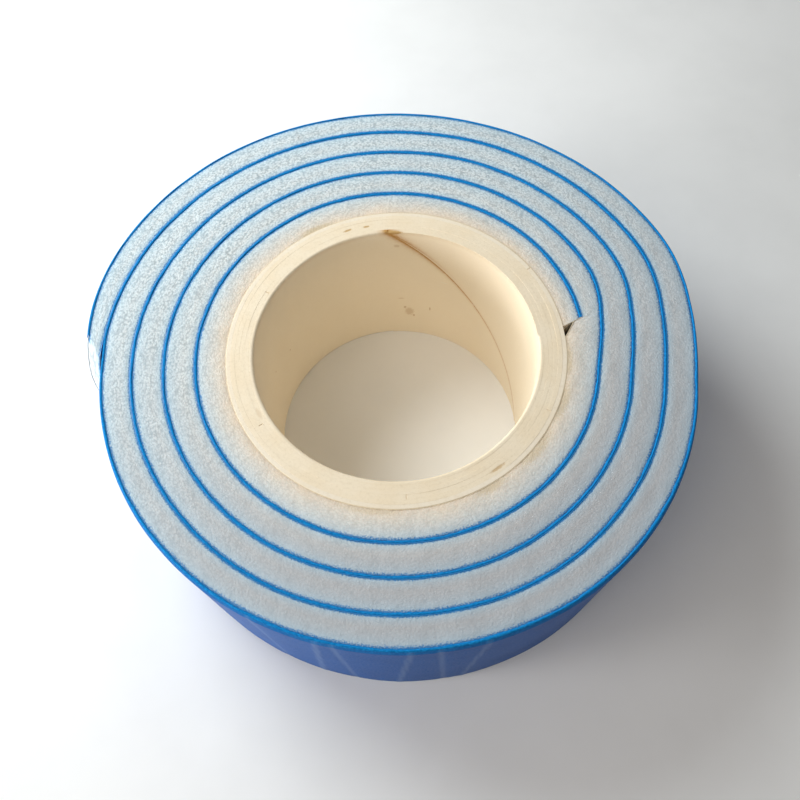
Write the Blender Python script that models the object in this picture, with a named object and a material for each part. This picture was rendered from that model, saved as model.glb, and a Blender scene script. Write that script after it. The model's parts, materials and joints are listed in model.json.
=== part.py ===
"""A roll of double-sided foam tape, lying flat on its spiral-wound paperboard core.

The core is a tube of six board plies. Each ply is a strip wound once round a helix, so its two
edges meet in a slanting butt seam. The tape is wound on the core in a spiral. From the inside out
each turn is an adhesive coat, the foam, a second adhesive coat and the blue release liner.
The last stretch of the tape is its free end. It is cut into three links, hinged at the liner, so
that it can be peeled off the roll, and the liner's own end is a tab that peels off the foam.

Units are metres and degrees. The roll's axis is +Z, and its lower face lies on z = 0.
Angles along the tape count from the cut end on the core, anticlockwise as seen from above.
"""

import math

import bmesh
import bpy
from mathutils import Matrix, Vector

# Roll
ROLL_WIDTH = 0.0270
TURN_PITCH = 0.00420
TAPE_START = 7.6          # where the cut end lies on the core, from +X
TAPE_END = 1607.0         # degrees of winding from the cut end to the free end
STEP = 6.0                # degrees between two sections of anything wound

# Core
BORE_RADIUS = 0.0190
PLY_COUNT = 6
PLY_THICKNESS = 0.00056
PLY_GAP = 0.00005
SEAM_SPAN = 90.0          # degrees that a seam travels from the lower to the upper face
SEAM_GAP = 0.00030        # height of the open butt joint
SEAM_FOOT = -6.0          # where the bore's seam meets the lower face, from the tape's cut end
SEAM_STAGGER = 60.0       # from one ply's seam to the next
PLY_TIP = 3.0             # degrees trimmed off the pointed tips of a ply

# Layers of the tape
ADHESIVE_THICKNESS = 0.00008
LINER_THICKNESS = 0.00012
LAYER_GAP = 0.00006
COAT_RECESS = 0.00015     # how far the thin layers stay inside the foam's two faces

# Shape of the winding
OVALNESS = 0.021          # the turns are thicker this share along one direction, thinner across it
OVAL_AXIS = -32.0         # that direction, from +X
START_SQUEEZE = 0.32      # share of the thickness lost at the cut end on the core
START_SQUEEZE_LENGTH = 45.0
END_SQUEEZE = 0.38        # share of the thickness lost at the free end
END_SQUEEZE_LENGTH = 14.0
STEP_SHARE = 0.62         # share of one pitch that a turn climbs sharply over the end below
STEP_CENTRE = -2.0
STEP_HALF_LENGTH = 18.0
SETTLE_LENGTH = 48.0      # degrees over which a turn climbs the rest of the pitch
CUT_SLANT = 2.2           # degrees that the cut end leans
END_SLANT = 4.4           # and the free end
VOID_CORNER = -1.5        # corner of the wedge-shaped void in front of the cut end
VOID_RISE = 0.41          # its height there, as a share of the first turn's thickness

# Free end
LINK_STARTS = (1542.0, 1560.0, 1578.0)
TAB_START = 1596.0
LINK_GAP = 0.10           # degrees left free on each side of a hinge

LAST_STEP = TAPE_END - 1.0       # a section here puts the slanted end's inner edge on a whole step
LAST_WHOLE_STEP = STEP * round(TAPE_END / STEP)
CORE_RADIUS = BORE_RADIUS + PLY_COUNT * PLY_THICKNESS + (PLY_COUNT - 1) * PLY_GAP


def smoothstep(value):
    t = min(max(value, 0.0), 1.0)
    return t * t * (3.0 - 2.0 * t)


def climb(angle):
    """Share of one pitch gained on passing over an end of the turn below."""
    sharp = smoothstep((angle - STEP_CENTRE + STEP_HALF_LENGTH) / (2.0 * STEP_HALF_LENGTH))
    settling = 1.0 - math.exp(-max(angle, 0.0) / SETTLE_LENGTH)
    return STEP_SHARE * sharp + (1.0 - STEP_SHARE) * settling


def outer_radius(angle):
    """Radius of the liner's outer face at an angle along the tape."""
    turns = 1.0 - START_SQUEEZE * math.exp(-angle / START_SQUEEZE_LENGTH)
    turns -= END_SQUEEZE * math.exp((angle - TAPE_END) / END_SQUEEZE_LENGTH)
    below = 1
    while 360.0 * below <= angle + 2.0 * STEP_HALF_LENGTH:
        turns += climb(angle - 360.0 * below)
        below += 1
    oval = math.cos(2.0 * math.radians(TAPE_START + angle - OVAL_AXIS))
    return CORE_RADIUS + TURN_PITCH * turns * (1.0 + OVALNESS * oval)


def support_radius(angle):
    """Radius of what the tape lies on: the core, the void at the cut end, or the turn below."""
    into_turn = angle - 360.0
    if into_turn >= 0.0:
        return outer_radius(into_turn)
    first_rise = outer_radius(0.0) - CORE_RADIUS
    if into_turn >= VOID_CORNER:
        share = VOID_RISE + (1.0 - VOID_RISE) * (1.0 - into_turn / VOID_CORNER)
    elif into_turn > -STEP:
        share = VOID_RISE * (into_turn + STEP) / (VOID_CORNER + STEP)
    else:
        share = 0.0
    return CORE_RADIUS + share * first_rise


def layer_radii(layer, angle):
    """Inner and outer radius of one layer of the tape."""
    base = support_radius(angle) + LAYER_GAP
    top = outer_radius(angle)
    coat = ADHESIVE_THICKNESS + LAYER_GAP
    under_liner = top - LINER_THICKNESS - LAYER_GAP
    return {
        "adhesive_inner": (base, base + ADHESIVE_THICKNESS),
        "foam_strip": (base + coat, under_liner - coat),
        "adhesive_outer": (under_liner - ADHESIVE_THICKNESS, under_liner),
        "release_liner": (top - LINER_THICKNESS, top),
    }[layer]


def wound_angles(first, last):
    """Section angles from first to last. Every turn uses the same ones, so the turns nest."""
    steps = range(math.ceil(first / STEP), math.floor(last / STEP) + 1)
    corners = [360.0 * turn + VOID_CORNER for turn in range(1, 5)]
    inside = [a for a in [STEP * i for i in steps] + corners if first < a < last]
    return [first] + sorted(inside) + [last]


def at(radius, angle, height):
    """A point from its radius, its angle from the cut end, and its height."""
    turned = math.radians(TAPE_START + angle)
    return Vector((radius * math.cos(turned), radius * math.sin(turned), height))


def end_slant(layer, angle):
    """How far the inner and outer edges of an end section lie ahead of its angle."""
    lean = {0.0: -CUT_SLANT, LAST_STEP: LAST_WHOLE_STEP - LAST_STEP, TAPE_END: END_SLANT}.get(angle, 0.0)
    if layer == "adhesive_inner":
        return lean, lean
    return (lean, 0.0) if layer == "foam_strip" else (0.0, 0.0)


def tape_sections(layer, first, last):
    recess = 0.0 if layer == "foam_strip" else COAT_RECESS
    low, high = recess, ROLL_WIDTH - recess
    angles = wound_angles(first, last)
    if last == TAPE_END and layer in ("adhesive_inner", "foam_strip"):
        angles.insert(-1, LAST_STEP)
    sections = []
    for angle in angles:
        lean_in, lean_out = end_slant(layer, angle)
        inner = layer_radii(layer, angle + max(lean_in, 0.0))[0]
        outer = layer_radii(layer, angle + max(lean_out, 0.0))[1]
        sections.append(
            (
                at(inner, angle + lean_in, low),
                at(inner, angle + lean_in, high),
                at(outer, angle + lean_out, high),
                at(outer, angle + lean_out, low),
            )
        )
    return sections


def ply_sections(index):
    """A board strip that goes once round the tube, cut off level at both faces."""
    inner = BORE_RADIUS + index * (PLY_THICKNESS + PLY_GAP)
    outer = inner + PLY_THICKNESS
    foot = SEAM_FOOT + index * SEAM_STAGGER
    along = [PLY_TIP]
    along += [STEP * i for i in range(1, round((360.0 + SEAM_SPAN) / STEP))]
    along += [360.0 + SEAM_SPAN - PLY_TIP]
    sections = []
    for angle in along:
        lower_edge = (angle - 360.0) / SEAM_SPAN * ROLL_WIDTH + 0.5 * SEAM_GAP
        upper_edge = angle / SEAM_SPAN * ROLL_WIDTH - 0.5 * SEAM_GAP
        low, high = max(lower_edge, 0.0), min(upper_edge, ROLL_WIDTH)
        if angle <= 360.0:
            low = 0.0
        if angle >= SEAM_SPAN:
            high = ROLL_WIDTH
        sections.append(
            (
                at(inner, foot + angle, low),
                at(inner, foot + angle, high),
                at(outer, foot + angle, high),
                at(outer, foot + angle, low),
            )
        )
    return sections


def sweep(sections, pivot):
    """Extrude a four-cornered section through every place in turn and close both ends."""
    mesh_points = bmesh.new()
    start = [mesh_points.verts.new(corner - pivot) for corner in sections[0]]
    face = mesh_points.faces.new(start)
    for section in sections[1:]:
        face = bmesh.ops.extrude_discrete_faces(mesh_points, faces=[face])["faces"][0]
        for vert, corner in zip(face.verts, section):
            vert.co = corner - pivot
    mesh_points.faces.new(start)
    bmesh.ops.recalc_face_normals(mesh_points, faces=mesh_points.faces)
    return mesh_points


def principled(name, colour, roughness):
    material = bpy.data.materials.new(name)
    material.use_nodes = True
    shader = material.node_tree.nodes["Principled BSDF"]
    shader.inputs["Base Color"].default_value = (*colour, 1.0)
    shader.inputs["Roughness"].default_value = roughness
    shader.inputs["Metallic"].default_value = 0.0
    material.diffuse_color = (*colour, 1.0)
    return material


def piece(name, sections, material, parent, pivot):
    """One solid piece, with its origin on its parent's axis."""
    mesh = bpy.data.meshes.new(name)
    solid = sweep(sections, pivot)
    solid.to_mesh(mesh)
    solid.free()
    mesh.materials.append(material)
    mesh.shade_smooth()
    mesh.set_sharp_from_angle(angle=math.radians(30.0))
    item = bpy.data.objects.new(name, mesh)
    item.parent = parent
    bpy.context.scene.collection.objects.link(item)
    return item


def axis_empty(name, place, parent):
    empty = bpy.data.objects.new(name, None)
    empty.empty_display_size = 0.01
    empty.location = place
    empty.parent = parent
    bpy.context.scene.collection.objects.link(empty)
    return empty


def roll_centre():
    """Middle of the outermost turn's extent, which the lopsided spiral keeps off the axis."""
    rim = [at(outer_radius(a), a, 0.0) for a in wound_angles(TAPE_END - 360.0, TAPE_END)]
    xs = [point.x for point in rim]
    ys = [point.y for point in rim]
    return Vector(((min(xs) + max(xs)) / 2.0, (min(ys) + max(ys)) / 2.0, 0.0))


def build_core(materials, axis):
    for index in range(PLY_COUNT):
        name = f"core_ply_{index + 1}"
        piece(name, ply_sections(index), materials["board"], axis, Vector())


def build_tape(materials, axis):
    """The wound tape, then each link of its free end on its own hinge."""
    layers = ("adhesive_inner", "foam_strip", "adhesive_outer", "release_liner")
    starts = [0.0] + [start + LINK_GAP for start in LINK_STARTS]
    ends = [start - LINK_GAP for start in LINK_STARTS] + [TAPE_END]
    hinge, pivot = axis, Vector()
    for link, (first, last) in enumerate(zip(starts, ends)):
        if link:
            place = at(outer_radius(LINK_STARTS[link - 1]), LINK_STARTS[link - 1], 0.0)
            hinge, pivot = axis_empty(f"tail_hinge_{link}", place - pivot, hinge), place
        for layer in layers:
            name = f"{layer}_link_{link}" if link else layer
            stop = TAB_START - LINK_GAP if last == TAPE_END and layer == "release_liner" else last
            piece(name, tape_sections(layer, first, stop), materials[layer], hinge, pivot)
    place = at(outer_radius(TAB_START), TAB_START, 0.0)
    tab_hinge = axis_empty("liner_tab_hinge", place - pivot, hinge)
    tab = tape_sections("release_liner", TAB_START + LINK_GAP, TAPE_END)
    piece("liner_tab", tab, materials["release_liner"], tab_hinge, place)


def main():
    for item in list(bpy.data.objects):
        bpy.data.objects.remove(item, do_unlink=True)
    adhesive = principled("adhesive", (0.80, 0.77, 0.66), 0.35)
    materials = {
        "board": principled("board", (0.80, 0.72, 0.57), 0.70),
        "foam_strip": principled("foam", (0.80, 0.84, 0.84), 0.90),
        "adhesive_inner": adhesive,
        "adhesive_outer": adhesive,
        "release_liner": principled("liner", (0.02, 0.22, 0.60), 0.20),
    }
    axis = axis_empty("roll_axis", -roll_centre(), None)
    build_core(materials, axis)
    build_tape(materials, axis)


main()
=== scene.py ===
"""Looks for a roll of double-sided foam tape on a board core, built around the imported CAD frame.

Every CAD node is replaced by a finer piece: six board plies, the tape's four layers, each as the
wound roll and the three links of its free end, and the liner's tab. The pieces follow the CAD's
winding formula, but neighbours touch instead of keeping the CAD's small gaps.

Sizes are in millimetres and degrees until a mesh is made, and the frame's metres after that.
Angles along the tape count from the cut end on the core, anticlockwise as seen from above.
"""

import json
import math

import bmesh
import bpy
import numpy as np
from mathutils import Matrix, Vector


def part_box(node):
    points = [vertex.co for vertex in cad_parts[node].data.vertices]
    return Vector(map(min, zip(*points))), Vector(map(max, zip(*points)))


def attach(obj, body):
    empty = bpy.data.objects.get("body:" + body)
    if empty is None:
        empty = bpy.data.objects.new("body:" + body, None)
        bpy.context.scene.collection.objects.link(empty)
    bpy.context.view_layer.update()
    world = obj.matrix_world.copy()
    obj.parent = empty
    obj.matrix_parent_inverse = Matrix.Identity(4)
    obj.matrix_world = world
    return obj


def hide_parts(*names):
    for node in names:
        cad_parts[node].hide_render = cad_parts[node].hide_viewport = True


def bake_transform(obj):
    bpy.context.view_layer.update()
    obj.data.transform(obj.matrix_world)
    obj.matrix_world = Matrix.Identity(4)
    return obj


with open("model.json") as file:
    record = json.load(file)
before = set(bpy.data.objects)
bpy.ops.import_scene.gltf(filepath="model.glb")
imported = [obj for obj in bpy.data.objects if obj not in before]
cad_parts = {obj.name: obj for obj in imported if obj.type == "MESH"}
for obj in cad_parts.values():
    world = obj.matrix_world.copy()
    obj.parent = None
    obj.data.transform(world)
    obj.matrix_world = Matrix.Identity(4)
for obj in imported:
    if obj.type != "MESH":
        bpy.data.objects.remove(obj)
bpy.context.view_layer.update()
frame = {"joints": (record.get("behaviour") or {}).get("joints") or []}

MM = 0.001
CORE_LOW, CORE_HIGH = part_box("core_ply_1")
AXIS = Vector(((CORE_LOW.x + CORE_HIGH.x) / 2.0, (CORE_LOW.y + CORE_HIGH.y) / 2.0, 0.0))
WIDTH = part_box("foam_strip")[1].z / MM
HINGES = {joint["child"]: Vector(joint["pos_m"]) for joint in frame["joints"]}

# Core, as in the CAD
BORE_RADIUS = 19.0
PLY_COUNT = 6
PLY_THICKNESS = 0.56
PLY_PITCH = 0.61
SEAM_SPAN = 90.0          # degrees that a ply's butt seam takes from face to face
SEAM_FOOT = -6.0          # where the bore's own seam meets the lower face
SEAM_STAGGER = 60.0       # from one ply's seam to the next
PLY_TIP = 0.4             # finer than the CAD's, so the seams close
PLY_STEP = 1.25           # degrees between two rings; both 90 and 360 are whole steps
CORE_RADIUS = BORE_RADIUS + PLY_COUNT * PLY_PITCH - (PLY_PITCH - PLY_THICKNESS)

# Winding, as in the CAD
TURN_PITCH = 4.20
OVALNESS, OVAL_AXIS = 0.021, -32.0       # share of the pitch, and degrees from +X
TAPE_START = 7.6          # degrees from +X to the cut end on the core
TAPE_END = 1607.0
START_SQUEEZE, START_SQUEEZE_LENGTH = 0.32, 45.0     # share of the pitch, and how soon it goes
END_SQUEEZE, END_SQUEEZE_LENGTH = 0.38, 14.0
STEP_SHARE, STEP_CENTRE, STEP_HALF_LENGTH = 0.62, -2.0, 18.0
SETTLE_LENGTH = 48.0
CUT_SLANT, END_SLANT = 2.2, 4.4          # degrees that the foam's cut faces slant
LINK_STARTS = (1542.0, 1560.0, 1578.0)
TAB_START = 1596.0

# Cut ends, finer than in the CAD
CUT_OVERLAP = 0.25        # degrees that the first cut end reaches into the turn over it
END_BIAS, END_BIAS_DEPTH = 8.0, 1.9      # below its face the free end's foam runs on, bare
END_REACH = 3.0           # degrees past the end where the squeeze stops growing
VOID_START, VOID_CORNER, VOID_RISE = -6.8, -1.2, 0.55    # the hollow on the core beside the cut

# Layers of the tape, which touch here
COAT = 0.10               # each adhesive coat
FILM = 0.12               # the liner
STATION = 0.7             # degrees between two rings of a wound piece

# Surface relief
EDGE_DROP = 0.15          # how far the foam's cut face falls at its outer edge
INNER_DROP = 0.05         # and at its inner edge
EDGE_FADE = 0.35          # and how soon it recovers
GRAIN = 0.030             # height of the foam's cells
LIP = 0.30                # how far the liner's cut edge reaches over its own foam
LIP_RAGGED = 0.09         # how much that reach varies
BAND = 0.85               # height of the outermost liner's edge that leans in
BAND_LEAN = 0.28
CREASES = (-117.0, -107.0, -102.0, -91.0, -84.0, -78.0)   # round the roll, from +X
CREASE_DEPTH, CREASE_WIDTH = 0.045, 0.45
FRONT_RADIUS = 42.0       # of the outermost turn where the creases are

LATTICE = np.random.default_rng(585).uniform(-1.0, 1.0, (256, 64))


# ---------------------------------------------------------------- winding

def smoothstep(value):
    t = np.clip(value, 0.0, 1.0)
    return t * t * (3.0 - 2.0 * t)


def noise(along, across=0.5):
    """Smooth noise from -1 to 1, with one bump to each unit of either coordinate."""
    along, across = np.broadcast_arrays(np.asarray(along, float), np.asarray(across, float))
    column, row = np.floor(along).astype(int), np.floor(across).astype(int)
    x, y = smoothstep(along - column), smoothstep(across - row)

    def corner(dx, dy):
        return LATTICE[(column + dx) % 256, (row + dy) % 64]

    this_row = corner(0, 0) * (1.0 - x) + corner(1, 0) * x
    next_row = corner(0, 1) * (1.0 - x) + corner(1, 1) * x
    return this_row * (1.0 - y) + next_row * y


def climb(angle):
    """Share of one pitch gained on passing over an end of the turn below."""
    sharp = smoothstep((angle - STEP_CENTRE + STEP_HALF_LENGTH) / (2.0 * STEP_HALF_LENGTH))
    settling = 1.0 - np.exp(-np.maximum(angle, 0.0) / SETTLE_LENGTH)
    return STEP_SHARE * sharp + (1.0 - STEP_SHARE) * settling


def outer_radius(angle):
    """Radius of the liner's outer face at an angle along the tape."""
    angle = np.asarray(angle, float)
    turns = 1.0 - START_SQUEEZE * np.exp(-angle / START_SQUEEZE_LENGTH)
    to_end = np.minimum(angle - TAPE_END, END_REACH)
    turns = turns - END_SQUEEZE * np.exp(to_end / END_SQUEEZE_LENGTH)
    for below in range(1, 5):
        turns = turns + climb(angle - 360.0 * below)
    oval = np.cos(2.0 * np.radians(TAPE_START + angle - OVAL_AXIS))
    return CORE_RADIUS + TURN_PITCH * turns * (1.0 + OVALNESS * oval)


def support_radius(angle):
    """Radius of what the tape lies on: the core, the void at the cut end, or the turn below."""
    into_turn = np.asarray(angle, float) - 360.0
    share = np.interp(into_turn, (VOID_START, VOID_CORNER, 0.0), (0.0, VOID_RISE, 1.0))
    over_end = CORE_RADIUS + share * (outer_radius(0.0) - CORE_RADIUS)
    return np.where(into_turn >= 0.0, outer_radius(np.maximum(into_turn, 0.0)), over_end)


def length_along(angle):
    """Millimetres of tape from the cut end to an angle."""
    turn = np.asarray(angle, float) / 360.0
    return 2.0 * math.pi * turn * (CORE_RADIUS + 0.5 * TURN_PITCH * (1.0 + turn))


def ripple(angle, height):
    """How far the tape's outer face strays from its spiral, most near the two cut faces."""
    along = length_along(angle)
    near_face = np.exp(-np.minimum(height, WIDTH - height) / 3.0)
    at_face = 0.055 * noise(along / 8.0) + 0.018 * noise(along / 2.1, 20.5)
    everywhere = 0.025 * noise(along / 13.0, height / 8.0)
    return smoothstep(angle / 20.0) * (near_face * at_face + everywhere)


def outermost(angle):
    """1 on the turn that nothing covers, 0 on the others."""
    return smoothstep((angle - (TAPE_END - 360.0)) / 5.0)


def band_lean(angle, height):
    """The outermost liner's upper edge leans in over the foam."""
    return outermost(angle) * BAND_LEAN * smoothstep((height - (WIDTH - BAND)) / BAND)


def crease_depth(angle, height):
    """Faint slanted creases down the front of the outermost liner, every second one raised."""
    depth = np.zeros(np.broadcast(angle, height).shape)
    for number, place in enumerate(CREASES):
        raised = number % 2
        middle = 4.0 * 360.0 + place - TAPE_START
        slant = (0.10 if raised else -0.06) * (height - 0.5 * WIDTH)
        away = (angle - middle - slant) * math.radians(1.0) * FRONT_RADIUS
        depth = depth + CREASE_DEPTH * np.exp(-((away / CREASE_WIDTH) ** 2)) * (1.0 - 2.2 * raised)
    return depth * outermost(angle)


def outer_face(angle, height):
    return outer_radius(angle) + ripple(angle, height) - band_lean(angle, height)


def inner_face(angle, height):
    return support_radius(angle) + ripple(np.asarray(angle) - 360.0, height)


# ---------------------------------------------------------------- meshes

def to_points(radius, angle, height):
    """Cylinder coordinates about the core's axis, as an array of points in millimetres."""
    turned = np.radians(TAPE_START + angle)
    radius, turned, height = np.broadcast_arrays(radius, turned, height)
    return np.stack([radius * np.cos(turned), radius * np.sin(turned), height], axis=-1)


def set_attribute(mesh, name, values):
    """A float or vector value on every point, for the materials to read."""
    vector = values.ndim == 3
    kind, field = ("FLOAT_VECTOR", "vector") if vector else ("FLOAT", "value")
    layer = mesh.attributes.new(name, kind, "POINT")
    layer.data.foreach_set(field, np.ascontiguousarray(values, np.float32).ravel())


def ring_mesh(name, points, attributes, material, smooth_to=70.0):
    """A closed skin through rings of points that run up the inner face and down the outer."""
    rings, count = points.shape[:2]
    index = np.arange(rings * count).reshape(rings, count)
    after = np.roll(index, -1, axis=1)
    quads = np.stack([index[:-1], after[:-1], after[1:], index[1:]], axis=-1).reshape(-1, 4)
    caps = [index[0][::-1].tolist(), index[-1].tolist()]
    mesh = bpy.data.meshes.new(name)
    places = points.reshape(-1, 3) * MM + np.array(AXIS)
    mesh.from_pydata(places, [], quads.tolist() + caps)
    mesh.shade_smooth()
    mesh.set_sharp_from_angle(angle=math.radians(smooth_to))
    for key, values in attributes.items():
        set_attribute(mesh, key, values)
    mesh.materials.append(material)
    item = bpy.data.objects.new(name, mesh)
    bpy.context.scene.collection.objects.link(item)
    return item


def stations(first, last):
    """Ring angles from first to last, closer together where a turn passes over the cut end."""
    count = max(2, round((last - first) / STATION))
    angles = np.linspace(first, last, count + 1)
    close = np.concatenate([360.0 + np.arange(-7.5, 1.0, 0.25), [360.0 + VOID_CORNER]])
    close = close[(close > first + 0.05) & (close < last - 0.05)]
    return np.unique(np.concatenate([angles, close]))


def spaced(count):
    """Shares from 0 to 1, closer together at both ends."""
    t = np.linspace(0.0, 1.0, count)
    return 0.45 * t + 0.55 * (0.5 - 0.5 * np.cos(math.pi * t))


def foam_section():
    """Share across the thickness and share of the height for each point of the foam's ring."""
    side = np.array([0.02, 0.08, 0.3, 0.5, 0.7, 0.82, 0.88, 0.92, 0.95, 0.98])
    top, bottom = spaced(15), spaced(9)
    across = np.concatenate([0.0 * side, top, 0.0 * side + 1.0, bottom[::-1]])
    up = np.concatenate([side, 0.0 * top + 1.0, side[::-1], 0.0 * bottom])
    return across[None, :], up[None, :]


def foam_heights(angle, across, up, thick):
    """The cut faces are crowned, and rough with cut cells."""
    along = length_along(angle)
    inward, outward = across * thick, (1.0 - across) * thick
    drop = INNER_DROP * np.exp(-inward / EDGE_FADE) + EDGE_DROP * np.exp(-outward / EDGE_FADE)
    grain = GRAIN * noise(along / 0.55, inward / 0.32)
    swell = 0.04 * (1.0 + noise(along / 3.1, 30.5 + inward / 1.6))
    top = WIDTH - drop - swell + grain
    bottom = np.maximum(drop + swell + grain, 0.0)
    return np.where(up == 1.0, top, np.where(up == 0.0, bottom, up * WIDTH))


def end_rings(angle, rounded):
    """Repeats the last ring of a visible cut end, pinched towards the middle of the foam."""
    pinch = np.ones(len(angle))
    if rounded:
        angle = np.concatenate([angle, np.full(4, angle[-1])])
        pinch = np.concatenate([pinch, (0.93, 0.72, 0.4, 0.12)])
    return angle[:, None], pinch[:, None]


def end_lean(angle, across, height):
    """Degrees that a point of the foam or a coat lies ahead, at the two slanted ends."""
    at_start = -np.clip(1.0 - angle / 6.0, 0.0, 1.0)
    at_end = smoothstep((angle - TAPE_END + 9.0) / 9.0)
    bias = END_BIAS * (1.0 - np.exp((height - WIDTH) / END_BIAS_DEPTH))
    slant = (CUT_SLANT * at_start + END_SLANT * at_end) * (1.0 - across)
    return slant + CUT_OVERLAP * at_start + bias * at_end


def foam_piece(name, first, last, material):
    angle, pinch = end_rings(stations(first, last), last == TAPE_END)
    across, up = foam_section()
    rough_in = inner_face(angle, 0.5 * WIDTH)
    thick = outer_face(angle, 0.5 * WIDTH) - FILM - COAT - rough_in - COAT
    height = foam_heights(angle, across, up, thick)
    across = 0.5 + (across - 0.5) * pinch
    lean = end_lean(angle, across, height)
    inner = inner_face(angle + np.maximum(lean, 0.0), height) + COAT
    outer = outer_face(angle + end_lean(angle, 1.0, height), height) - FILM - COAT
    radius = inner + across * (outer - inner)
    bulge = (1.0 - pinch) * (0.10 + 0.08 * noise(height / 1.3, 9.5 + across * 3.0))
    bulge = bulge / (radius * math.radians(1.0))
    points = to_points(radius, angle + lean + bulge, height)
    depth = across * (outer - inner)
    bare = np.where((angle >= TAPE_END - 0.01) & (height < WIDTH - 0.4), 3.0, 0.0)
    attributes = {
        "rest": rest_places(angle + bulge, depth, height),
        "film_gap": (1.0 - across) * (outer - inner) + bare,
        "below_gap": depth + np.where(angle < 360.0, 9.0, 0.0),
        "core_gap": radius - CORE_RADIUS,
        "turned": np.broadcast_to(TAPE_START + angle, radius.shape),
    }
    return ring_mesh(name, points, attributes, material)


def rest_places(angle, depth, height):
    """Where a point was on the unrolled tape: along it, into it and across its width."""
    along, depth, height = np.broadcast_arrays(length_along(angle), depth, height)
    return np.stack([along, depth, height], axis=-1)


def coat_piece(name, first, last, outer_side, material):
    """One adhesive coat, between the foam and the liner or what the tape lies on."""
    angle = stations(first, last)[:, None]
    edge = EDGE_DROP if outer_side else INNER_DROP
    shares = np.array([0.08, 0.3, 0.5, 0.7, 0.82, 0.88, 0.92, 0.95, 0.98])
    height = np.array([edge, *(shares * WIDTH), WIDTH - edge])
    across = np.repeat([0.0, 1.0], len(height))[None, :]
    height = np.concatenate([height, height[::-1]])[None, :]
    ragged = 0.04 * noise(length_along(angle) / 0.9, 40.5 + across)
    height = height + ragged * (height < edge + 0.1)
    on_film = np.where(outer_side | (angle >= 360.0), 1.0, 0.0) * (angle <= TAPE_END - 0.5)
    to_face = smoothstep(1.0 - np.minimum(height, WIDTH - height) / 0.5)
    angle = angle + end_lean(angle, float(outer_side), height)
    if outer_side:
        radius = outer_face(angle, height) - FILM - COAT * (1.0 - across)
    else:
        radius = inner_face(angle, height) + COAT * across
    points = to_points(radius, angle, height)
    on_core = np.where(outer_side | (angle >= 360.0), 0.0, 1.0) + 0.0 * height
    attributes = {
        "rest": rest_places(angle, radius, height),
        "tint": on_film * to_face,
        "on_core": on_core,
    }
    return ring_mesh(name, points, attributes, material)


def film_section():
    """Height, depth below the outer face and share of the lip for each point of the ring.

    The heights are drawn for a tape 27 mm wide.
    """
    inside = [(z, FILM, 0.0) for z in (0.45, 1.4, 9.0, 18.0, 25.7)]
    over = [(26.55, FILM, 0.0), (26.78, 0.16, 0.25), (26.86, 0.10, 0.75), (26.90, 0.0, 1.0)]
    over += [(26.95, 0.0, 0.85), (26.975, 0.05, 0.40), (26.975, 0.06, 0.10), (26.93, 0.01, 0.0)]
    outside = [(z, 0.0, 0.0) for z in (26.7, 26.4, 26.15, 25.9, 23.0, 19.0, 15.0, 11.0, 7.0, 3.0)]
    under = [(0.9, 0.0, 0.0), (0.28, 0.0, 0.0), (0.13, 0.06, 0.0), (0.12, 0.05, 0.5)]
    under += [(0.19, 0.0, 0.8), (0.26, 0.14, 0.2)]
    table = np.array(inside + over + outside + under)
    return table[None, :, 0] * WIDTH / 27.0, table[None, :, 1], table[None, :, 2]


def film_piece(name, first, last, material):
    angle = stations(first, last)[:, None]
    height, depth, over = film_section()
    along = length_along(angle)
    upper = height > 0.5 * WIDTH
    ragged = noise(along / 0.7, 50.5) + 0.9 * noise(along / 2.6, 53.5 + 3.0 * upper)
    reach = (LIP + LIP_RAGGED * ragged) * np.where(upper, 1.0, 0.6)
    wander = np.where(upper, 0.035, 0.05) * noise(along / 3.7, 57.5 + 2.0 * upper)
    height = np.maximum(height + wander * ((height < 1.0) | (height > WIDTH - 0.6)), 0.02)
    shown = (depth == 0.0) & (over == 0.0)
    radius = outer_face(angle, height) - depth - over * reach
    radius = radius - np.where(shown, crease_depth(angle, height), 0.0)
    points = to_points(radius, angle, height)
    edge = np.maximum(over > 0.0, 0.45 * smoothstep((height - (WIDTH - BAND - 0.1)) / 0.25))
    edge = np.maximum(edge, smoothstep((height - (WIDTH - 0.25)) / 0.1))
    edge = np.maximum(edge, smoothstep((0.35 - height) / 0.25))
    attributes = {
        "rest": rest_places(angle, depth + over, height),
        "edge": np.broadcast_to(edge, radius.shape).astype(float),
        "crease": np.abs(crease_depth(angle, height)) / CREASE_DEPTH,
    }
    return ring_mesh(name, points, attributes, material)


# ---------------------------------------------------------------- board plies

def ply_section(inner_edge, outer_edge):
    """Share across, share up, and millimetres in and down, for each point of a ply's ring.

    Both faces' edges are rounded: inner_edge and outer_edge are the radii.
    """
    turn = np.radians((0.0, 30.0, 60.0, 90.0))
    late, early = 1.0 - np.sin(turn), 1.0 - np.cos(turn)
    steps = spaced(9)[1:-1]
    rows = [(0.0, step, 0.0, 0.0) for step in steps]
    rows += [(0.0, 1.0, inner_edge * a, inner_edge * b) for a, b in zip(early, late)]
    rows += [(0.0, 1.0, inner_edge + 0.04, 0.0), (1.0, 1.0, -outer_edge - 0.04, 0.0)]
    rows += [(1.0, 1.0, -outer_edge * b, outer_edge * a) for a, b in zip(early, late)]
    rows += [(1.0, step, 0.0, 0.0) for step in steps[::-2]]
    rows += [(1.0, 0.0, -outer_edge * a, -outer_edge * b) for a, b in zip(early, late)]
    rows += [(1.0, 0.0, -outer_edge - 0.04, 0.0), (0.0, 0.0, inner_edge + 0.04, 0.0)]
    rows += [(0.0, 0.0, inner_edge * b, -inner_edge * a) for a, b in zip(early, late)]
    return np.array(rows).T[:, None, :]


def seam_gap(index, height):
    """Height of the open butt joint: a hair's breadth on the bore's own seam, none on the rest."""
    if index:
        return 0.0 * height
    return 0.01 + 0.015 * smoothstep((height / WIDTH - 0.45) / 0.55)


def up_to_face(high, low):
    """Where a strip reaches both faces, so that its edges are the core's own and not the seam's."""
    return (high > WIDTH - 0.1) & (low < 0.1)


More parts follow.
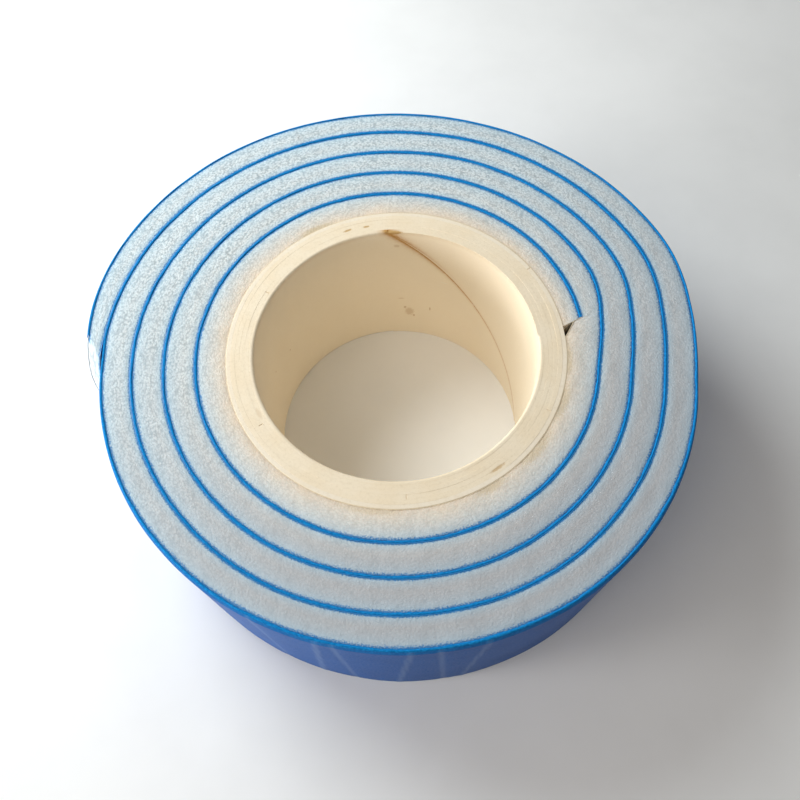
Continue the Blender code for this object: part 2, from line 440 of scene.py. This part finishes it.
def ply_piece(index, material):
    inner = BORE_RADIUS + index * PLY_PITCH
    foot = SEAM_FOOT + index * SEAM_STAGGER
    whole = np.arange(PLY_STEP, 360.0 + SEAM_SPAN, PLY_STEP)
    angle = np.array([PLY_TIP, *whole, 360.0 + SEAM_SPAN - PLY_TIP])[:, None]
    lower_edge = (angle - 360.0) / SEAM_SPAN * WIDTH
    upper_edge = angle / SEAM_SPAN * WIDTH
    low = np.maximum(lower_edge + 0.5 * seam_gap(index, lower_edge), 0.0)
    high = np.minimum(upper_edge - 0.5 * seam_gap(index, upper_edge), WIDTH)
    swings = np.sin(np.radians(3.0 * angle + 80.0 * index)) + np.sin(np.radians(8.0 * angle))
    top_drop = 0.008 * (index % 2) + 0.005 * (2.0 + swings)
    at_face = np.where(up_to_face(high, low), 1.0, 0.12)
    high = np.where(high > WIDTH - 0.1, WIDTH - top_drop, high)
    inner_edge = 0.32 if index == 0 else 0.02
    outer_edge = 0.03 if index == PLY_COUNT - 1 else 0.015
    across, up, inwards, down = ply_section(inner_edge, outer_edge)
    inwards, down = inwards * at_face, down * at_face
    thick = PLY_THICKNESS if index == PLY_COUNT - 1 else PLY_PITCH
    waviness = 0.02 * noise(angle / 11.0, 12.5 + up * 4.0) * (across == 0.0) * (index == 0)
    radius = inner + across * thick + inwards + waviness
    height = np.clip(low + up * (high - low) - down, low, high)
    points = to_points(radius, foot + angle, height)
    seam_slope = WIDTH / (math.radians(SEAM_SPAN) * BORE_RADIUS)
    seam = np.minimum(np.abs(height - lower_edge), np.abs(upper_edge - height))
    on_wall = np.where((across == 0.0) & (index == 0), height - WIDTH, radius - BORE_RADIUS)
    attributes = {
        "seam": seam / math.hypot(1.0, seam_slope) + (9.0 if index else 0.0),
        "sheet": np.where(up == 0.0, -60.0, on_wall) + 0.0 * radius,
        "turned": np.broadcast_to(TAPE_START + foot + angle, radius.shape),
    }
    return ring_mesh(f"board_ply_{index + 1}", points, attributes, material, 35.0)


# ---------------------------------------------------------------- node helpers

def feed(tree, socket, value):
    """Links a socket to another node's output, or sets it to a constant."""
    if isinstance(value, bpy.types.NodeSocket):
        tree.links.new(value, socket)
    elif isinstance(value, tuple) and len(value) == 3 and socket.type == "RGBA":
        socket.default_value = (*value, 1.0)
    else:
        socket.default_value = value


def node(tree, kind, inputs, **settings):
    made = tree.nodes.new(kind)
    for key, value in settings.items():
        setattr(made, key, value)
    for key, value in inputs.items():
        feed(tree, made.inputs[key], value)
    return made


def maths(tree, operation, *values, clamp=False):
    inputs = dict(enumerate(values))
    return node(tree, "ShaderNodeMath", inputs, operation=operation, use_clamp=clamp).outputs[0]


def attribute(tree, name, output="Fac"):
    return node(tree, "ShaderNodeAttribute", {}, attribute_name=name).outputs[output]


def cloud(tree, vector, scale, detail=2.0, rough=0.5):
    inputs = {"Vector": vector, "Scale": scale, "Detail": detail, "Roughness": rough}
    return node(tree, "ShaderNodeTexNoise", inputs).outputs[0]


def cells(tree, vector, scale, feature="F1"):
    made = node(tree, "ShaderNodeTexVoronoi", {"Vector": vector, "Scale": scale}, feature=feature)
    return made.outputs["Distance"]


def ramp(tree, value, start, end, low=0.0, high=1.0):
    inputs = {"Value": value, "From Min": start, "From Max": end, "To Min": low, "To Max": high}
    made = node(tree, "ShaderNodeMapRange", inputs, interpolation_type="SMOOTHSTEP")
    return made.outputs["Result"]


def mix(tree, factor, first, second, blend="MIX"):
    inputs = {0: factor, 6: first, 7: second}
    made = node(tree, "ShaderNodeMix", inputs, data_type="RGBA", blend_type=blend)
    return made.outputs[2]


def bump(tree, height, depth, strength=1.0):
    """depth is what a height of 1 stands for, in millimetres."""
    inputs = {"Strength": strength, "Distance": depth * MM, "Height": height}
    return node(tree, "ShaderNodeBump", inputs).outputs["Normal"]


def new_material(name, **constants):
    """A Principled material, its constant sockets set, and its node tree and shader."""
    material = bpy.data.materials.new(name)
    material.use_nodes = True
    tree = material.node_tree
    shader = tree.nodes["Principled BSDF"]
    for key, value in constants.items():
        shader.inputs[key.replace("_", " ")].default_value = value
    return material, tree, shader


def near(tree, gap, reach):
    """1 where a distance in millimetres is 0, fading out over reach."""
    return maths(tree, "EXPONENT", maths(tree, "MULTIPLY", gap, -1.0 / reach))


def mark(tree, turned, level, place, size, ragged):
    """A ragged spot at place = (degrees round, level), size = half lengths in millimetres."""
    round_axis = maths(tree, "WRAP", maths(tree, "SUBTRACT", turned, place[0]), 180.0, -180.0)
    length = maths(tree, "MULTIPLY", round_axis, math.radians(1.0) * (BORE_RADIUS + 1.5) / size[0])
    width = maths(tree, "MULTIPLY", maths(tree, "SUBTRACT", level, place[1]), 1.0 / size[1])
    away = maths(tree, "SQRT", maths(
        tree, "ADD", maths(tree, "MULTIPLY", length, length), maths(tree, "MULTIPLY", width, width),
    ))
    return ramp(tree, maths(tree, "ADD", away, ragged), 1.25, 0.55)


# ---------------------------------------------------------------- materials

BOARD_MARKS = (           # degrees from +X, level, half length, half width, strength
    (107.5, 1.7, 0.60, 0.20, 0.85),     # brown spots on the rim at the back
    (100.0, 1.6, 0.45, 0.18, 0.85),
    (-56.5, 2.5, 1.10, 0.22, 0.60),     # long brown mark on the rim at the front
    (-153.0, 1.0, 0.90, 0.28, 0.22),    # faint smear on the rim
    (89.0, 0.0, 1.40, 0.42, 1.00),      # torn edge where the seam comes up
    (87.6, -3.1, 0.45, 0.35, 0.35),
    (82.5, -20.5, 0.80, 1.10, 0.40),    # specks low on the bore's wall
    (84.6, -19.3, 0.25, 0.30, 0.60),
    (80.2, -21.6, 0.20, 0.35, 0.60),
    (72.0, -18.9, 0.14, 0.50, 0.60),
    (86.5, -16.7, 0.50, 0.12, 0.45),
    (151.0, -15.3, 0.13, 0.13, 0.80),
    (166.0, -13.9, 0.13, 0.13, 0.80),
    (9.7, -24.0, 0.22, 0.25, 0.60),
)
LIGHT_NICKS = (           # pale fibres lifted from the bore's wall
    (65.4, -10.6, 0.70, 0.10, 0.6),
    (49.5, -12.8, 0.50, 0.09, 0.6),
    (29.2, -18.0, 0.35, 0.09, 0.5),
)


BOARD_PALE, BOARD_DARK = (0.91, 0.785, 0.60), (0.89, 0.75, 0.55)
OUTER_PLY_PALE, OUTER_PLY_DARK = (0.91, 0.81, 0.66), (0.90, 0.78, 0.61)
BOARD_FIBRE, BORE_CREAM = (0.62, 0.50, 0.33), (0.99, 0.87, 0.68)
SEAM_GLUE, BROWN_MARK, PALE_NICK = (0.56, 0.29, 0.08), (0.54, 0.33, 0.12), (0.97, 0.92, 0.78)


def all_marks(tree, marks, turned, level, ragged):
    """The strongest of several marks at each point."""
    total = None
    for round_axis, place, length, width, strength in marks:
        spot = mark(tree, turned, level, (round_axis, place), (length, width), ragged)
        spot = maths(tree, "MULTIPLY", spot, strength)
        total = spot if total is None else maths(tree, "MAXIMUM", total, spot)
    return total


def seam_glue(tree, level, fibres):
    """A line of glue along the seam, stronger and wider towards the rim."""
    strength = ramp(tree, level, -26.0, -2.0, 0.60, 1.70)
    narrow = ramp(tree, level, -20.0, 0.0, -7.0, -2.2)
    glue = maths(tree, "EXPONENT", maths(tree, "MULTIPLY", attribute(tree, "seam"), narrow))
    glue = maths(tree, "MULTIPLY", glue, strength)
    return maths(tree, "MULTIPLY", glue, ramp(tree, fibres, 0.15, 0.6, 0.5, 1.0), clamp=True)


def board_material(name, pale, dark):
    """Cream board: fibres, mottling, a brown line of glue at the seam, and handling marks."""
    material, tree, shader = new_material(name, Roughness=0.62, Specular_IOR_Level=0.35)
    where = node(tree, "ShaderNodeTexCoord", {}).outputs["Object"]
    fibres = cloud(tree, where, 2600.0, 3.0, 0.65)
    blotches = cloud(tree, where, 260.0, 2.0, 0.55)
    turned, level = attribute(tree, "turned"), attribute(tree, "sheet")
    ragged = maths(tree, "MULTIPLY", maths(tree, "SUBTRACT", fibres, 0.5), 1.6)
    spots = all_marks(tree, BOARD_MARKS, turned, level, ragged)
    nicks = all_marks(tree, LIGHT_NICKS, turned, level, ragged)
    colour = mix(tree, ramp(tree, blotches, 0.3, 0.7), pale, dark)
    colour = mix(tree, ramp(tree, fibres, 0.45, 0.8, 0.0, 0.25), colour, BOARD_FIBRE)
    colour = mix(tree, ramp(tree, level, 0.0, -1.0, 0.0, 0.75), colour, BORE_CREAM)
    colour = mix(tree, seam_glue(tree, level, fibres), colour, SEAM_GLUE)
    colour = mix(tree, spots, colour, BROWN_MARK)
    feed(tree, shader.inputs["Base Color"], mix(tree, nicks, colour, PALE_NICK))
    relief = maths(tree, "ADD", maths(tree, "MULTIPLY", fibres, 0.6), blotches)
    relief = maths(tree, "SUBTRACT", relief, maths(tree, "MULTIPLY", spots, 0.5))
    feed(tree, shader.inputs["Normal"], bump(tree, relief, 0.03))
    feed(tree, shader.inputs["Roughness"], ramp(tree, fibres, 0.2, 0.8, 0.52, 0.70))
    return material


FOAM_MARKS = (            # degrees from +X, gap to the core, half length, half width, strength
    (118.0, 0.2, 2.4, 0.70, 0.80),      # yellow-green stain on the joint with the core
    (-8.0, 0.2, 2.2, 0.55, 0.65),       # brownish glue along the right and the front
    (-24.0, 0.3, 2.6, 0.80, 0.60),
    (-43.0, 0.3, 2.8, 0.90, 0.60),
    (-62.0, 0.4, 2.0, 0.60, 0.60),
    (-100.0, 0.4, 3.5, 0.45, 0.40),
    (40.0, 0.1, 2.0, 0.30, 0.25),
)
# The grey for the hollows of the cut cells is painted shade, and the glint colour paints highlights.
FOAM_WHITE, FOAM_PIT_SHADE, FOAM_GLINT = (0.81, 0.86, 0.87), (0.38, 0.43, 0.45), (0.95, 0.97, 0.95)
FOAM_SHADE, FOAM_COOL = (0.52, 0.53, 0.55), (0.60, 0.64, 0.66)
# The first colour here is painted shade, greying the foam on its front and right side.
FOAM_FRONT_SHADE, FOAM_CREAM, FOAM_STAIN = (0.45, 0.43, 0.44), (0.90, 0.71, 0.51), (0.66, 0.53, 0.34)
HAZE_BLUE, FEATHER_BLUE = (0.36, 0.66, 0.88), (0.010, 0.19, 0.50)
# Side of the roll where the foam's colour is darkened as painted shade.
SHADED_SIDE = -65.0      # degrees from +X


def foam_cells(tree, rest):
    """The cut cells, longer along the tape than across it, and the fine noise in them."""
    drawn = node(tree, "ShaderNodeVectorMath", {0: rest, 1: (1.0, 1.4, 1.0)}, operation="MULTIPLY")
    bubbles = cells(tree, drawn.outputs[0], 2.6)
    fine = cloud(tree, drawn.outputs[0], 4.8, 3.0, 0.6)
    bubbles = maths(tree, "MULTIPLY", bubbles, 0.55)
    return maths(tree, "ADD", bubbles, maths(tree, "MULTIPLY", fine, 0.9)), fine


def foam_tone(tree, rest, grain, fine, crisp):
    """White with painted shade in the hollows of the cells, bright glints that are painted
    highlights, and soft shading.
    """
    soft, broad = cloud(tree, rest, 1.1, 2.0, 0.6), cloud(tree, rest, 0.30, 2.0, 0.5)
    # Painted shade in the hollows of the cells, weaker where the grain is less crisp.
    pit_shade = maths(tree, "MULTIPLY", ramp(tree, grain, 0.55, 0.95), crisp)
    colour = mix(tree, pit_shade, FOAM_WHITE, FOAM_PIT_SHADE)
    colour = mix(tree, ramp(tree, soft, 0.3, 0.7, 0.0, 0.22), colour, FOAM_SHADE)
    colour = mix(tree, ramp(tree, broad, 0.35, 0.7, 0.0, 0.22), colour, FOAM_COOL)
    glint = maths(tree, "MULTIPLY", ramp(tree, fine, 0.61, 0.72), crisp)
    return mix(tree, glint, colour, FOAM_GLINT), broad


def foam_beside_core(tree, colour, broad, front, turned, core_gap, ragged):
    """Greyer towards the front and right as painted shade, cream beside the core, and stained with
    glue.
    """
    # Painted shade: greyer towards the front and right, and stronger away from the core.
    front_shade = maths(tree, "MULTIPLY", ramp(tree, front, -0.8, 1.0), ramp(tree, core_gap, 0.0, 7.0))
    colour = mix(tree, maths(tree, "MULTIPLY", front_shade, 0.80), colour, FOAM_FRONT_SHADE)
    cream = maths(tree, "MULTIPLY", near(tree, core_gap, 2.5), ramp(tree, broad, 0.2, 0.7, 1.0, 0.75))
    colour = mix(tree, cream, colour, FOAM_CREAM)
    stains = all_marks(tree, FOAM_MARKS, turned, core_gap, ragged)
    return mix(tree, stains, colour, FOAM_STAIN)


def foam_beside_liner(tree, colour, ragged):
    """A blue haze and ragged blue feathers on both sides of each blue line."""
    own_gap, below_gap = attribute(tree, "film_gap"), attribute(tree, "below_gap")
    haze = maths(tree, "MULTIPLY", near(tree, own_gap, 1.05), 0.60)
    haze = maths(tree, "MAXIMUM", haze, maths(tree, "MULTIPLY", near(tree, below_gap, 0.60), 0.62))
    colour = mix(tree, haze, colour, HAZE_BLUE)
    inner_side = maths(tree, "SUBTRACT", 1.30, maths(tree, "MULTIPLY", own_gap, 2.3))
    outer_side = maths(tree, "SUBTRACT", 1.10, maths(tree, "MULTIPLY", below_gap, 4.0))
    feathers = maths(tree, "MAXIMUM", inner_side, outer_side)
    feathers = maths(tree, "ADD", feathers, maths(tree, "MULTIPLY", ragged, 1.1))
    return mix(tree, ramp(tree, feathers, 0.15, 1.0, 0.0, 0.92), colour, FEATHER_BLUE)


def foam_material():
    """White foam of cut cells, tinted blue beside the liner and cream beside the core."""
    material, tree, shader = new_material("foam", Roughness=0.85, Specular_IOR_Level=0.3)
    shader.inputs["Subsurface Weight"].default_value = 0.30
    shader.inputs["Subsurface Radius"].default_value = (1.0, 1.2, 1.3)
    shader.inputs["Subsurface Scale"].default_value = 0.0012
    rest = attribute(tree, "rest", "Vector")
    grain, fine = foam_cells(tree, rest)
    core_gap, turned = attribute(tree, "core_gap"), attribute(tree, "turned")
    facing = maths(tree, "SUBTRACT", turned, SHADED_SIDE)
    front = maths(tree, "COSINE", maths(tree, "MULTIPLY", facing, math.radians(1.0)))
    crisp = ramp(tree, front, -0.8, 0.9, 1.0, 0.55)
    ragged = maths(tree, "MULTIPLY", maths(tree, "SUBTRACT", fine, 0.5), 2.4)
    colour, broad = foam_tone(tree, rest, grain, fine, crisp)
    colour = foam_beside_core(tree, colour, broad, front, turned, core_gap, ragged)
    feed(tree, shader.inputs["Base Color"], foam_beside_liner(tree, colour, ragged))
    relief = maths(tree, "MULTIPLY", grain, ramp(tree, crisp, 0.4, 1.0, -0.55, -1.0))
    feed(tree, shader.inputs["Normal"], bump(tree, relief, 0.10, 0.8))
    feed(tree, shader.inputs["Roughness"], ramp(tree, fine, 0.3, 0.7, 0.90, 0.60))
    return material


FILM_WALL, FILM_WALL_PALE = (0.024, 0.103, 0.355), (0.031, 0.119, 0.39)
FILM_EDGE, FILM_EDGE_PALE = (0.005, 0.17, 0.47), (0.016, 0.30, 0.72)
FILM_CREASED = (0.20, 0.30, 0.52)


def liner_material():
    """Blue film: deep blue over the foam, azure along its cut edges, milky where it is creased."""
    material, tree, shader = new_material("liner", Roughness=0.34, Specular_IOR_Level=0.02)
    rest = attribute(tree, "rest", "Vector")
    contact = cloud(tree, rest, 0.22, 3.0, 0.6)
    dust = cloud(tree, rest, 3.0, 3.0, 0.6)
    wall = mix(tree, ramp(tree, contact, 0.3, 0.7), FILM_WALL, FILM_WALL_PALE)
    creased = ramp(tree, attribute(tree, "crease"), 0.15, 1.0, 0.0, 0.42)
    wall = mix(tree, creased, wall, FILM_CREASED)
    edge = mix(tree, ramp(tree, dust, 0.35, 0.7), FILM_EDGE, FILM_EDGE_PALE)
    colour = mix(tree, attribute(tree, "edge"), wall, edge)
    feed(tree, shader.inputs["Base Color"], colour)
    relief = maths(tree, "ADD", contact, maths(tree, "MULTIPLY", dust, 0.15))
    feed(tree, shader.inputs["Normal"], bump(tree, relief, 0.05, 0.6))
    polish = ramp(tree, dust, 0.2, 0.8, 0.30, 0.46)
    polish = maths(tree, "ADD", polish, maths(tree, "MULTIPLY", attribute(tree, "edge"), 0.30))
    feed(tree, shader.inputs["Roughness"], polish)
    return material


COAT_BLUE, COAT_PALE, COAT_BUBBLE = (0.44, 0.56, 0.65), (0.56, 0.66, 0.71), (0.80, 0.84, 0.84)
COAT_BY_FILM, COAT_BY_CORE = (0.010, 0.21, 0.56), (0.78, 0.65, 0.45)


def adhesive_material():
    """A glossy coat with small bubbles, blue where its edge meets the liner, yellow at the core."""
    material, tree, shader = new_material("adhesive", Roughness=0.25, IOR=1.47)
    rest = attribute(tree, "rest", "Vector")
    bubbles = cells(tree, rest, 1.6)
    fine = cloud(tree, rest, 2.4, 3.0, 0.6)
    colour = mix(tree, ramp(tree, fine, 0.3, 0.7), COAT_BLUE, COAT_PALE)
    colour = mix(tree, ramp(tree, bubbles, 0.25, 0.0, 0.0, 0.5), colour, COAT_BUBBLE)
    colour = mix(tree, attribute(tree, "tint"), colour, COAT_BY_FILM)
    colour = mix(tree, attribute(tree, "on_core"), colour, COAT_BY_CORE)
    feed(tree, shader.inputs["Base Color"], colour)
    relief = maths(tree, "ADD", fine, maths(tree, "MULTIPLY", bubbles, 0.6))
    feed(tree, shader.inputs["Normal"], bump(tree, relief, 0.06, 0.7))
    feed(tree, shader.inputs["Roughness"], ramp(tree, fine, 0.3, 0.7, 0.18, 0.42))
    return material


def floor_material():
    material, tree, shader = new_material("floor", Roughness=0.75, Specular_IOR_Level=0.25)
    where = node(tree, "ShaderNodeTexCoord", {}).outputs["Object"]
    tone = cloud(tree, where, 60.0, 3.0, 0.6)
    colour = mix(tree, ramp(tree, tone, 0.3, 0.7), (0.92, 0.92, 0.915), (0.95, 0.95, 0.945))
    feed(tree, shader.inputs["Base Color"], colour)
    feed(tree, shader.inputs["Normal"], bump(tree, cloud(tree, where, 900.0), 0.02, 0.3))
    return material


# ---------------------------------------------------------------- placing the pieces

BODIES = ("roll", "tail_link_1", "tail_link_2", "tail_link_3", "liner_tab")
TAB_BEND_SHARE = 0.6      # of the way from the tab's hinge to its tip


def hang(item, link, cad_node):
    """Puts a piece of the roll on the roll's body; a link's piece only gets its place baked into its
    mesh, and its hinge and end are found but not used.
    """
    if link == 0:
        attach(item, "roll")
    else:
        start = HINGES[BODIES[link]]
        end = HINGES[BODIES[link + 1]] if link < 4 else tab_bend_end(start)
        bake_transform(item)
    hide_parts(cad_node)


def tab_bend_end(start):
    """A point between the tab's hinge and its tip, TAB_BEND_SHARE of the way along."""
    tip = Vector(to_points(outer_radius(TAPE_END), TAPE_END, 0.0)) * MM + AXIS
    return start.lerp(tip, TAB_BEND_SHARE)


def build_core():
    inner = board_material("board", BOARD_PALE, BOARD_DARK)
    outer = board_material("board_outer_ply", OUTER_PLY_PALE, OUTER_PLY_DARK)
    for index in range(PLY_COUNT):
        item = ply_piece(index, outer if index == PLY_COUNT - 1 else inner)
        hang(item, 0, f"core_ply_{index + 1}")


def build_tape():
    foam, liner, adhesive = foam_material(), liner_material(), adhesive_material()
    starts, ends = (0.0, *LINK_STARTS), (*LINK_STARTS, TAPE_END)
    for link, (first, last) in enumerate(zip(starts, ends)):
        tail = f"_link_{link}" if link else ""
        film_last = min(last, TAB_START)
        hang(coat_piece("inner_coat" + tail, first, last, False, adhesive), link,
             "adhesive_inner" + tail)
        hang(foam_piece("foam" + tail, first, last, foam), link, "foam_strip" + tail)
        hang(coat_piece("outer_coat" + tail, first, last, True, adhesive), link,
             "adhesive_outer" + tail)
        hang(film_piece("liner" + tail, first, film_last, liner), link,
             "release_liner" + tail)
    hang(film_piece("liner_free_tab", TAB_START, TAPE_END, liner), 4, "liner_tab")


# ---------------------------------------------------------------- floor, light and camera

FLOOR_RADIUS = 1.6        # metres
FLAT_SHARE = 0.4          # of the floor's radius, before it sweeps up
FLOOR_STEPS = 12
LIGHT_AIM = Vector((0.0, 0.0, 0.013))
LIGHTS = (                # name, place in metres, diameter, watts, colour
    ("window", (-0.135, 0.115, 0.165), 0.16, 0.50, (0.93, 0.99, 1.0)),
    ("side", (-0.30, -0.07, 0.055), 0.10, 0.62, (1.0, 1.0, 1.0)),
    ("room", (-0.16, -0.14, 0.26), 0.24, 0.26, (1.0, 0.90, 0.78)),
)
WORLD_STRENGTH = 0.21
CAMERA_ELEVATION = 63.5
CAMERA_ROLL = -2.52
CAMERA_DISTANCE = 96.57   # from its aim
CAMERA_LENS, CAMERA_SENSOR = 33.85, 36.0
CAMERA_AIM = Vector((0.243, -8.041))     # from the core's axis, on the roll's upper face


def build_floor():
    """A round floor whose far edge sweeps up out of sight."""
    mesh_points = bmesh.new()
    flat = FLOOR_RADIUS * FLAT_SHARE
    bmesh.ops.create_circle(mesh_points, cap_ends=True, segments=96, radius=flat)
    rim = [edge for edge in mesh_points.edges if edge.is_boundary]
    for step in range(1, FLOOR_STEPS + 1):
        turned = 0.5 * math.pi * step / FLOOR_STEPS
        grown = bmesh.ops.extrude_edge_only(mesh_points, edges=rim)["geom"]
        rim = [g for g in grown if isinstance(g, bmesh.types.BMEdge)]
        reach = FLOOR_RADIUS * (FLAT_SHARE + (1.0 - FLAT_SHARE) * math.sin(turned))
        for vert in {v for edge in rim for v in edge.verts}:
            outward = Vector((vert.co.x, vert.co.y, 0.0)).normalized()
            vert.co = outward * reach
            vert.co.z = FLOOR_RADIUS * (1.0 - FLAT_SHARE) * (1.0 - math.cos(turned))
    bmesh.ops.recalc_face_normals(mesh_points, faces=mesh_points.faces)
    mesh = bpy.data.meshes.new("floor")
    mesh_points.to_mesh(mesh)
    mesh_points.free()
    mesh.shade_smooth()
    mesh.materials.append(floor_material())
    floor = bpy.data.objects.new("floor", mesh)
    bpy.context.scene.collection.objects.link(floor)


def area_light(name, place, size, power, colour):
    light = bpy.data.lights.new(name, "AREA")
    light.shape = "DISK"
    light.size, light.energy, light.color = size, power, colour
    item = bpy.data.objects.new(name, light)
    item.location = place
    aim = LIGHT_AIM - Vector(place)
    item.rotation_euler = aim.to_track_quat("-Z", "Y").to_euler()
    bpy.context.scene.collection.objects.link(item)


def build_light():
    for light in LIGHTS:
        area_light(*light)
    world = bpy.data.worlds.new("studio")
    world.use_nodes = True
    background = world.node_tree.nodes["Background"]
    background.inputs["Color"].default_value = (1.0, 1.0, 1.0, 1.0)
    background.inputs["Strength"].default_value = WORLD_STRENGTH
    bpy.context.scene.world = world
    bpy.context.scene.view_settings.view_transform = "Standard"


def build_camera():
    elevation, roll = math.radians(CAMERA_ELEVATION), math.radians(CAMERA_ROLL)
    back = Vector((0.0, -math.cos(elevation), math.sin(elevation)))
    level = Vector((1.0, 0.0, 0.0))
    upright = back.cross(level)
    right = math.cos(roll) * level + math.sin(roll) * upright
    up = math.cos(roll) * upright - math.sin(roll) * level
    aim = AXIS + Vector((CAMERA_AIM.x, CAMERA_AIM.y, WIDTH)) * MM
    camera = bpy.data.cameras.new("camera")
    camera.lens, camera.sensor_width, camera.clip_start = CAMERA_LENS, CAMERA_SENSOR, 0.005
    item = bpy.data.objects.new("camera", camera)
    turn = Matrix((right, up, back)).transposed().to_4x4()
    item.matrix_world = Matrix.Translation(aim + back * CAMERA_DISTANCE * MM) @ turn
    bpy.context.scene.collection.objects.link(item)
    bpy.context.scene.camera = item


build_core()
build_tape()
build_floor()
build_light()
build_camera()
